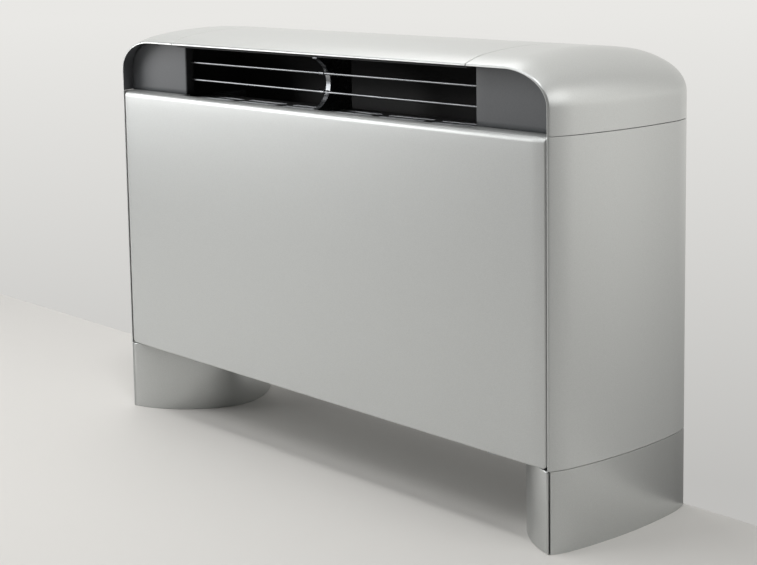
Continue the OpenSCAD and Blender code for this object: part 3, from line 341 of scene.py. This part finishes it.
def thicken(piece, wall):
    """Gives a sheet its thickness behind its outer face."""
    solid = piece.modifiers.new("wall", "SOLIDIFY")
    solid.thickness = wall
    solid.offset = -1
    return piece


def place(piece, slot, *replaced):
    """Seats a piece on the cabinet and hides the solids it stands for; slot is not used."""
    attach(piece, "cabinet")
    if replaced:
        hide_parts(*replaced)
    return piece


def cover_loop(edge=COVER_EDGE, flange=REAR_FLANGE, front=FRONT):
    """Closed section of a moulded cover, as depth and inset: outer skin, rear flange, inner skin, edge."""
    outer_y = np.concatenate([np.linspace(front + edge, FRONT + EDGE_LEN, 16, endpoint=False),
                              np.linspace(FRONT + EDGE_LEN, HALF_D - EDGE_LEN, 22, endpoint=False),
                              np.linspace(HALF_D - EDGE_LEN, HALF_D, 14)])
    outer = np.stack([outer_y, np.zeros_like(outer_y)], -1)
    inner_edge = SKIN / 4
    rear = [(HALF_D, SKIN), (INNER_BACK, SKIN), (INNER_BACK, SKIN + flange)]
    rear += [(INNER_BACK - SKIN, SKIN + flange), (INNER_BACK - SKIN, SKIN)]
    inner_y = np.linspace(INNER_BACK - 2 * SKIN, front + LIP_DEPTH, 30)
    inner = np.stack([inner_y, np.full_like(inner_y, SKIN)], -1)
    lip = np.array([(front + 0.8 * LIP_DEPTH, SKIN)])
    low = arc((front + inner_edge, SKIN - inner_edge), inner_edge, 90, 180, 5)
    high = arc((front + edge, edge), edge, 180, 270, 8)[:-1]
    return np.concatenate([outer, np.array(rear), inner, lip, low, high])


def side_cover(name, side, low, high, slot, loop, replaced):
    """Swollen upright cover: its section in plan, carried straight up from low to high."""
    z = np.linspace(low, high, 9)
    x = side * (HALF_W + swell_at(loop[:, 0]) - loop[:, 1])
    rings = np.empty((len(z), len(loop), 3))
    rings[..., 0] = x
    rings[..., 1] = loop[:, 0]
    rings[..., 2] = z[:, None]
    return place(round_edges(sweep(name, rings, [slot]), COVER_ROUND), slot, replaced)


def hood_centre():
    """Middle of the hood: the cover's section upright in Y and Z, carried straight along X."""
    loop = cover_loop(LIP_EDGE)
    x = np.linspace(-HOOD_HALF, HOOD_HALF, 13)
    rings = np.empty((len(x), len(loop), 3))
    rings[..., 0] = x[:, None]
    rings[..., 1] = loop[:, 0]
    rings[..., 2] = LIP_Z + swell_at(loop[:, 0]) - loop[:, 1]
    made = sweep("hood_middle", rings, ["silver_paint"])
    return place(round_edges(made, HOOD_ROUND), "silver_paint", "hood_centre")


def hood_path(b):
    """Outline of the hood's end for a skin that stands b outside the plain one: along the top, round the
    corner ellipse and down to the seam."""
    top = np.linspace(HOOD_HALF + HOOD_SEAM, HALF_W - CORNER_W, 6, endpoint=False)[:, None]
    a = np.radians(np.linspace(90, 0, 41))[:, None]
    down = np.linspace(LIP_Z - CORNER_H, SEAM_Z, 8)[1:, None]
    x = np.concatenate([top + 0 * b, HALF_W - CORNER_W + (CORNER_W + b) * np.cos(a), HALF_W + b + 0 * down])
    z = np.concatenate([LIP_Z + b + 0 * top, LIP_Z - CORNER_H + (CORNER_H + b) * np.sin(a), down + 0 * b])
    return x, z


def hood_end(name, side, replaced):
    """Doubly curved end of the hood: the cover's section, carried round the hood's outline."""
    loop = cover_loop(LIP_EDGE)
    inner_skin = np.flatnonzero((loop[:, 1] == SKIN) & (loop[:, 0] < INNER_BACK - SKIN))
    x, z = hood_path((swell_at(loop[:, 0]) - loop[:, 1])[None, :])
    y = np.broadcast_to(loop[:, 0], x.shape)
    rings = np.stack([side * x, y, z], -1)
    made = sweep(name, rings, ["silver_paint", "grey_plastic"], (inner_skin[0], inner_skin[-1] + 2))
    return place(round_edges(made, HOOD_ROUND), "silver_paint", replaced)


def front_panel():
    """Folded front sheet. A path in Y and Z runs from the bottom fold up the face, round the rolled top and
    back along the ledge. Along X the sheet keeps that path and folds back at both ends, and its lower
    corners are round. Along the outlet the ledge is shorter: its rows move forward in step with their
    distance from the roll."""
    low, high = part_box("front_panel")
    wider, bottom_return, side_return, ledge_return = 0.8 * MM, 12 * MM, 12 * MM, 4 * MM
    roll, fold, corner, ledge_fold, ledge_drop = 8 * MM, 2.2 * MM, 6 * MM, 1.0 * MM, 5 * MM
    half, bottom, top, back = high.x + wider, low.z, high.z, high.y
    face_z = np.concatenate([bottom + fold + (corner - fold) * np.linspace(0, 1, 8, endpoint=False),
                             np.linspace(bottom + corner, top - roll, 24)])
    path = np.concatenate([
        [(FRONT + bottom_return, bottom), (FRONT + bottom_return / 2, bottom)],
        arc((FRONT + fold, bottom + fold), fold, 270, 180, 6)[:-1],
        np.stack([np.full_like(face_z, FRONT), face_z], -1)[:-1],
        arc((FRONT + roll, top - roll), roll, 180, 90, 17),
        [(FRONT + (roll + back - FRONT) / 2, top)],
        arc((back - ledge_fold, top - ledge_fold), ledge_fold, 90, 0, 5),
        [(back, top - ledge_drop)],
    ])
    along = np.gradient(path, axis=0)
    along /= np.linalg.norm(along, axis=1, keepdims=True)
    inward = np.stack([along[:, 1], -along[:, 0]], -1)
    rise = np.clip(path[:, 1] - bottom, 0, corner)
    end_x = half - corner + np.sqrt(corner**2 - (corner - rise) ** 2)
    on_face = (path[:, 0] < FRONT + 0.1 * MM) & (path[:, 1] < top - roll)
    depth = np.where(on_face, side_return, ledge_return)
    turn = np.radians(np.linspace(0, 90, 6))
    cut = OUTLET_HALF / (half - fold)
    flat = np.concatenate([np.linspace(0, cut, 14), np.linspace(cut + 0.001, 1, 6, endpoint=False)])
    reach = np.concatenate([flat, np.ones(len(turn) + 2)])
    bend_x = np.concatenate([np.full(len(flat), -fold), fold * (np.sin(turn) - 1), np.zeros(2)])
    bend_in = np.concatenate([np.zeros(len(flat)), fold * (1 - np.cos(turn)), np.full(2, fold)])
    deep = np.concatenate([np.zeros(len(flat) + len(turn)), [0.5, 1.0]])
    half_x = (end_x[:, None] - fold) * reach + np.where(reach < 1, 0, fold + bend_x)
    half_in = bend_in + deep * (depth[:, None] - fold)
    x = np.concatenate([-half_x[:, :0:-1], half_x], 1)
    shift = np.concatenate([half_in[:, :0:-1], half_in], 1)
    y = path[:, 0, None] + inward[:, 0, None] * shift
    z = path[:, 1, None] + inward[:, 1, None] * shift
    run = (path[:, 0] - FRONT - roll) / (back - ledge_fold - FRONT - roll)
    on_ledge = np.clip(run, 0, 1) * (path[:, 1] > top - roll)
    along_outlet = np.abs(x) < OUTLET_HALF + 0.1 * MM
    y -= np.where(along_outlet, (back - FRONT - OUTLET_LEDGE) * on_ledge[:, None], 0)
    points = np.stack([x, y, z], -1)
    made = new_piece("front_sheet", points.reshape(-1, 3), grid_faces(*x.shape), ["silver_paint"])
    middle = made.data.polygons[len(made.data.polygons) // 2]
    if middle.normal.y > 0:
        made.data.flip_normals()
    return place(thicken(made, SHEET), "silver_paint", "front_panel")


def outlet_blank(name, side, replaced):
    """Moulded blank at the outlet's end: a flat face inside the hood's outline, with a round edge that
    turns back into a return along the outlet. The return is darkened with painted shade: it gets the black
    finish in place of the blank's grey, for the shade inside the outlet."""
    b = float(swell_at(np.array(BLANK_Y))) - SKIN / math.cos(EDGE_SLOPE) - FIT
    centre_x, centre_z = HALF_W - CORNER_W, LIP_Z - CORNER_H
    half_x, half_z = CORNER_W + b, CORNER_H + b
    turn = np.radians(np.linspace(0, 90, 7))
    face_x = np.concatenate([OUTLET_HALF + BLANK_EDGE * (1 - np.cos(turn)),
                             np.linspace(OUTLET_HALF + BLANK_EDGE, centre_x, 6)[1:],
                             centre_x + half_x * np.sin(np.radians(np.linspace(0, 90, 25)[1:]))])
    over = np.clip((face_x - centre_x) / half_x, 0, 1)
    top_z = np.where(face_x > centre_x, centre_z + half_z * np.sqrt(1 - over**2), LIP_Z + b)
    face_y = np.full_like(face_x, BLANK_Y)
    face_y[: len(turn)] += BLANK_EDGE * (1 - np.sin(turn))
    return_y = np.linspace(BLANK_END_Y, BLANK_Y + BLANK_EDGE, 4, endpoint=False)
    x = np.concatenate([np.full_like(return_y, OUTLET_HALF), face_x])
    y = np.concatenate([return_y, face_y])
    top = np.concatenate([np.full_like(return_y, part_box(replaced)[1].z), top_z])
    rise = np.linspace(0, 1, 12)[:, None]
    z = SEAM_Z + rise * (np.minimum(top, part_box(replaced)[1].z) - SEAM_Z)
    points = np.stack([np.broadcast_to(side * x, z.shape), np.broadcast_to(y, z.shape), z], -1)
    made = new_piece(name, points.reshape(-1, 3), grid_faces(*z.shape), ["grey_plastic", "black_paint"])
    columns = z.shape[1] - 1
    # Painted shade: the return's columns get the black finish, standing in for the shade inside the outlet.
    index = np.tile(np.where(np.arange(columns) < len(return_y), 1, 0), z.shape[0] - 1)
    made.data.polygons.foreach_set("material_index", index.astype(np.int32))
    if made.data.polygons[columns - 1].normal.y > 0:
        made.data.flip_normals()
    return place(thicken(made, BLANK_WALL), "grey_plastic", replaced)


def foot_plan(inset):
    """Inner foot's plan for a face set in by inset: flat flank, round nose, flat flank, then straight along
    the side shell to a lip that covers the shell's front edge."""
    nose_r, half_angle = NOSE_R - inset, math.radians(NOSE_HALF)
    nose = np.array((FOOT_NOSE + NOSE_R, 0.0))
    out = -np.array((math.cos(half_angle), math.sin(half_angle)))
    chord = nose + NOSE_R * out - np.array((HALF_W, FRONT))
    whole_r = chord @ chord / (2 * chord @ out)
    flank = nose + (NOSE_R - whole_r) * out
    flank_r = whole_r - inset
    clip = HALF_W - FOOT_WALL / math.cos(EDGE_SLOPE) - FIT - inset
    corner = HALF_W - FOOT_GROOVE - inset
    last = -math.degrees(math.acos((clip - flank[0]) / flank_r))
    first = -math.degrees(math.acos((corner - flank[0]) / flank_r))
    front = arc(flank, flank_r, first, NOSE_HALF - 180, 26)
    middle = arc(nose, nose_r, NOSE_HALF - 180, -NOSE_HALF - 180, 26)[1:-1]
    back = arc(flank * (1, -1), flank_r, -180 - NOSE_HALF, -360 - last, 26)
    lip_y = max(FRONT + FOOT_LIP, front[0, 1])
    straight = np.array([(clip, back[-1, 1] / 2), (clip, lip_y), (corner, lip_y)])
    return np.concatenate([front, middle, back, straight])


def foot_inner(name, side, replaced):
    """Round-backed foot moulding with a closed top: its plan at each inset and height of a section that
    runs down the inner wall, round the bottom edge, up the outer wall and over a rounded rim."""
    rim, bottom_edge, deep, under = 2 * MM, 0.8 * MM, 30 * MM, FOOT_H - FOOT_WALL
    levels = np.concatenate([[(deep, under), (FOOT_WALL, under), (FOOT_WALL, bottom_edge)],
                             arc((FOOT_WALL - bottom_edge, bottom_edge), bottom_edge, 0, -90, 3),
                             arc((bottom_edge, bottom_edge), bottom_edge, 270, 180, 4),
                             arc((rim, FOOT_H - rim), rim, 180, 90, 6),
                             [(deep, FOOT_H)]])
    plans = np.stack([foot_plan(inset) for inset in levels[:, 0]])
    heights = np.broadcast_to(levels[:, 1, None, None], (*plans.shape[:2], 1))
    rings = np.concatenate([plans * (side, 1), heights], -1)
    return place(sweep(name, rings, ["foot_plastic"]), "foot_plastic", replaced)


def slot_edges():
    """Bare cut edges round the guard's slots: a thin bead, half sunk in the sheet, along each slot's rim."""
    guard_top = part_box("outlet_guard")[1].z
    length, width, pitch, bead = 78 * MM, 5 * MM, 91.5 * MM, 0.55 * MM
    slots_in_row = 6
    rows_y = (FRONT + 35.5 * MM, FRONT + 52 * MM)
    straight = (length - width) / 2
    rim = np.concatenate([arc((straight, 0), width / 2, -90, 90, 9),
                          arc((-straight, 0), width / 2, 90, 270, 9)])
    out = np.concatenate([arc((0, 0), 1, -90, 90, 9), arc((0, 0), 1, 90, 270, 9)])
    around = arc((0, 0), bead, 0, 360, 9)[:-1]
    points, faces = [], []
    for row in rows_y:
        for i in range(slots_in_row):
            centre = np.array(((i - (slots_in_row - 1) / 2) * pitch, row))
            flat = centre + rim[:, None] + out[:, None] * around[None, :, :1]
            heights = np.broadcast_to(guard_top + around[:, 1:], (*flat.shape[:2], 1))
            rings = np.concatenate([flat, heights], -1)
            closed = np.concatenate([rings, rings[:1]])
            start = len(points) * closed.shape[0] * closed.shape[1]
            points.append(closed.reshape(-1, 3))
            faces += (np.array(grid_faces(*closed.shape[:2], closed=True)) + start).tolist()
    made = new_piece("guard_slot_edges", np.concatenate(points), faces, ["bright_steel"])
    return place(made, "bright_steel")


def dress_solids():
    """Gives every solid the finish of its slot in the record."""
    for row in frame["record"]["subparts"]:
        mesh = frame["nodes"][row["node"]].data
        mesh.materials.clear()
        mesh.materials.append(FINISHES[row["material_slot"]])


dress_solids()
front_panel()
hood_centre()
slot_edges()
for word, side in (("left", -1), ("right", 1)):
    side_cover(f"{word}_side_cover", side, FOOT_H + SIDE_SEAM, SEAM_Z - SIDE_SEAM, "silver_paint",
               cover_loop(), f"{word}_side_panel")
    side_cover(f"{word}_foot_shell", side, 0, FOOT_H, "foot_plastic",
               cover_loop(FOOT_EDGE, FOOT_FLANGE, FRONT + FOOT_LIP + FOOT_GROOVE), f"{word}_foot_outer")
    hood_end(f"{word}_hood_end", side, f"hood_{word}_end")
    outlet_blank(f"{word}_blank", side, f"{word}_outlet_blank")
    foot_inner(f"{word}_foot_moulding", side, f"{word}_foot_inner")

# Stage: a pale floor that ends at the wall line, and a pale room
WALL_LINE = HALF_D + 3 * MM
FLOOR_REACH = 4
floor_mesh = bpy.data.meshes.new("floor")
floor_corners = [(-FLOOR_REACH, -FLOOR_REACH, 0), (FLOOR_REACH, -FLOOR_REACH, 0),
                 (FLOOR_REACH, WALL_LINE, 0), (-FLOOR_REACH, WALL_LINE, 0)]
floor_mesh.from_pydata(floor_corners, [], [(0, 1, 2, 3)])
floor = bpy.data.objects.new("floor", floor_mesh)
scene.collection.objects.link(floor)
floor_finish, _, _ = start_material("floor_paint", "#dad8d4", 0.6)
floor_mesh.materials.append(floor_finish)


def pale_room():
    """World light: an even grey for dull surfaces. Gloss sees a lit wall behind the object, lightest at the
    back right, and a dim room in front of it, both darker below the horizon. The eye sees a pale wall with
    painted shade: it grows lighter with height."""
    world = bpy.data.worlds.new("pale_room")
    scene.world = world
    world.use_nodes = True
    tree = world.node_tree
    even = tree.nodes["Background"]
    even.inputs["Color"].default_value = linear("#e6e6e6")
    even.inputs["Strength"].default_value = 0.33
    place_in_room = add(tree, "ShaderNodeTexCoord")
    way = add(tree, "ShaderNodeSeparateXYZ", links={"Vector": place_in_room.outputs["Generated"]})
    depth = add(tree, "ShaderNodeMapRange",
                {"From Min": -0.2, "From Max": 0.2, "To Min": 0.4, "To Max": 3.6},
                {"Value": way.outputs["Y"]})
    height = add(tree, "ShaderNodeMapRange", {"From Min": -0.34, "From Max": 0.1},
                 {"Value": way.outputs["Z"]})
    shade = add(tree, "ShaderNodeValToRGB", links={"Fac": height.outputs["Result"]})
    shade.color_ramp.elements[0].color = (0.08, 0.08, 0.08, 1)
    shade.color_ramp.elements[1].color = (0.66, 0.66, 0.66, 1)
    for place_on_ramp, grey in ((0.27, 0.32), (0.5, 1.0)):
        shade.color_ramp.elements.new(place_on_ramp).color = (grey, grey, grey, 1)
    band = add(tree, "ShaderNodeValToRGB", links={"Fac": way.outputs["X"]})
    band.color_ramp.elements[0].color = (0.5, 0.5, 0.5, 1)
    band.color_ramp.elements[1].color = (0.33, 0.33, 0.33, 1)
    for place_on_ramp, grey in ((0.42, 0.38), (0.62, 0.68), (0.84, 0.68), (0.95, 0.42)):
        band.color_ramp.elements.new(place_on_ramp).color = (grey, grey, grey, 1)
    lit = add(tree, "ShaderNodeMath", {"operation": "MULTIPLY"},
              {0: depth.outputs["Result"], 1: band.outputs["Color"]})
    strength = add(tree, "ShaderNodeMath", {"operation": "MULTIPLY"},
                   {0: lit.outputs["Value"], 1: shade.outputs["Color"]})
    gloss = add(tree, "ShaderNodeBackground", {"Color": linear("#e7e5e1")},
                {"Strength": strength.outputs["Value"]})
    # Painted shade on the wall the camera sees: darker towards the bottom, lighter with height.
    painted_wall_shade = add(tree, "ShaderNodeMapRange",
               {"From Min": -0.32, "From Max": -0.05, "To Min": 0.64, "To Max": 1.0},
               {"Value": way.outputs["Z"]})
    wall = add(tree, "ShaderNodeBackground", {"Color": linear("#e9e8e5")},
               {"Strength": painted_wall_shade.outputs["Result"]})
    path = add(tree, "ShaderNodeLightPath")
    unseen = add(tree, "ShaderNodeMixShader",
                 links={0: path.outputs["Is Glossy Ray"], 1: even.outputs["Background"],
                        2: gloss.outputs["Background"]})
    mix = add(tree, "ShaderNodeMixShader",
              links={0: path.outputs["Is Camera Ray"], 1: unseen.outputs["Shader"],
                     2: wall.outputs["Background"]})
    tree.links.new(mix.outputs["Shader"], tree.nodes["World Output"].inputs["Surface"])


def soft_light(name, at, towards, width, height, watts):
    """A softbox of that width and height that faces a point."""
    data = bpy.data.lights.new(name, "AREA")
    data.shape = "RECTANGLE"
    data.size = width
    data.size_y = height
    data.energy = watts
    lamp = bpy.data.objects.new(name, data)
    scene.collection.objects.link(lamp)
    lamp.location = at
    lamp.rotation_euler = (Vector(towards) - Vector(at)).to_track_quat("-Z", "Y").to_euler()


pale_room()

# Lamps: place, aim, width, height and watts
soft_light("key_softbox", (-1.72, -1.21, 0.96), (0, 0, 0.8), 1.2, 1.2, 22)
soft_light("front_softbox", (-0.3, -1.1, 1.7), (0.1, 0, 0.4), 0.6, 0.6, 7)
soft_light("high_softbox", (-1.0, 0.2, 2.1), (0.25, 0, 0.5), 1.2, 0.7, 9)
soft_light("ceiling_light", (0.6, -0.6, 2.6), (0.2, 0, 0.4), 0.4, 0.4, 15)
soft_light("right_fill", (2.2, 0.1, 1.5), (0.3, 0, 0.5), 1.4, 1.4, 7.5)

camera_data = bpy.data.cameras.new("camera")
camera_data.sensor_fit = "HORIZONTAL"
camera_data.sensor_width = SENSOR_MM
camera_data.lens = FOCAL_PIXELS / PICTURE_W * SENSOR_MM
camera_data.shift_y = SHIFT_Y
camera = bpy.data.objects.new("camera", camera_data)
scene.collection.objects.link(camera)
turn = (Matrix.Rotation(math.radians(CAMERA_YAW), 4, "Z")
        @ Matrix.Rotation(math.radians(90 - CAMERA_PITCH), 4, "X")
        @ Matrix.Rotation(math.radians(CAMERA_ROLL), 4, "Z"))
camera.matrix_world = Matrix.Translation(Vector(CAMERA_AT)) @ turn
scene.camera = camera

scene.view_settings.view_transform = "Standard"
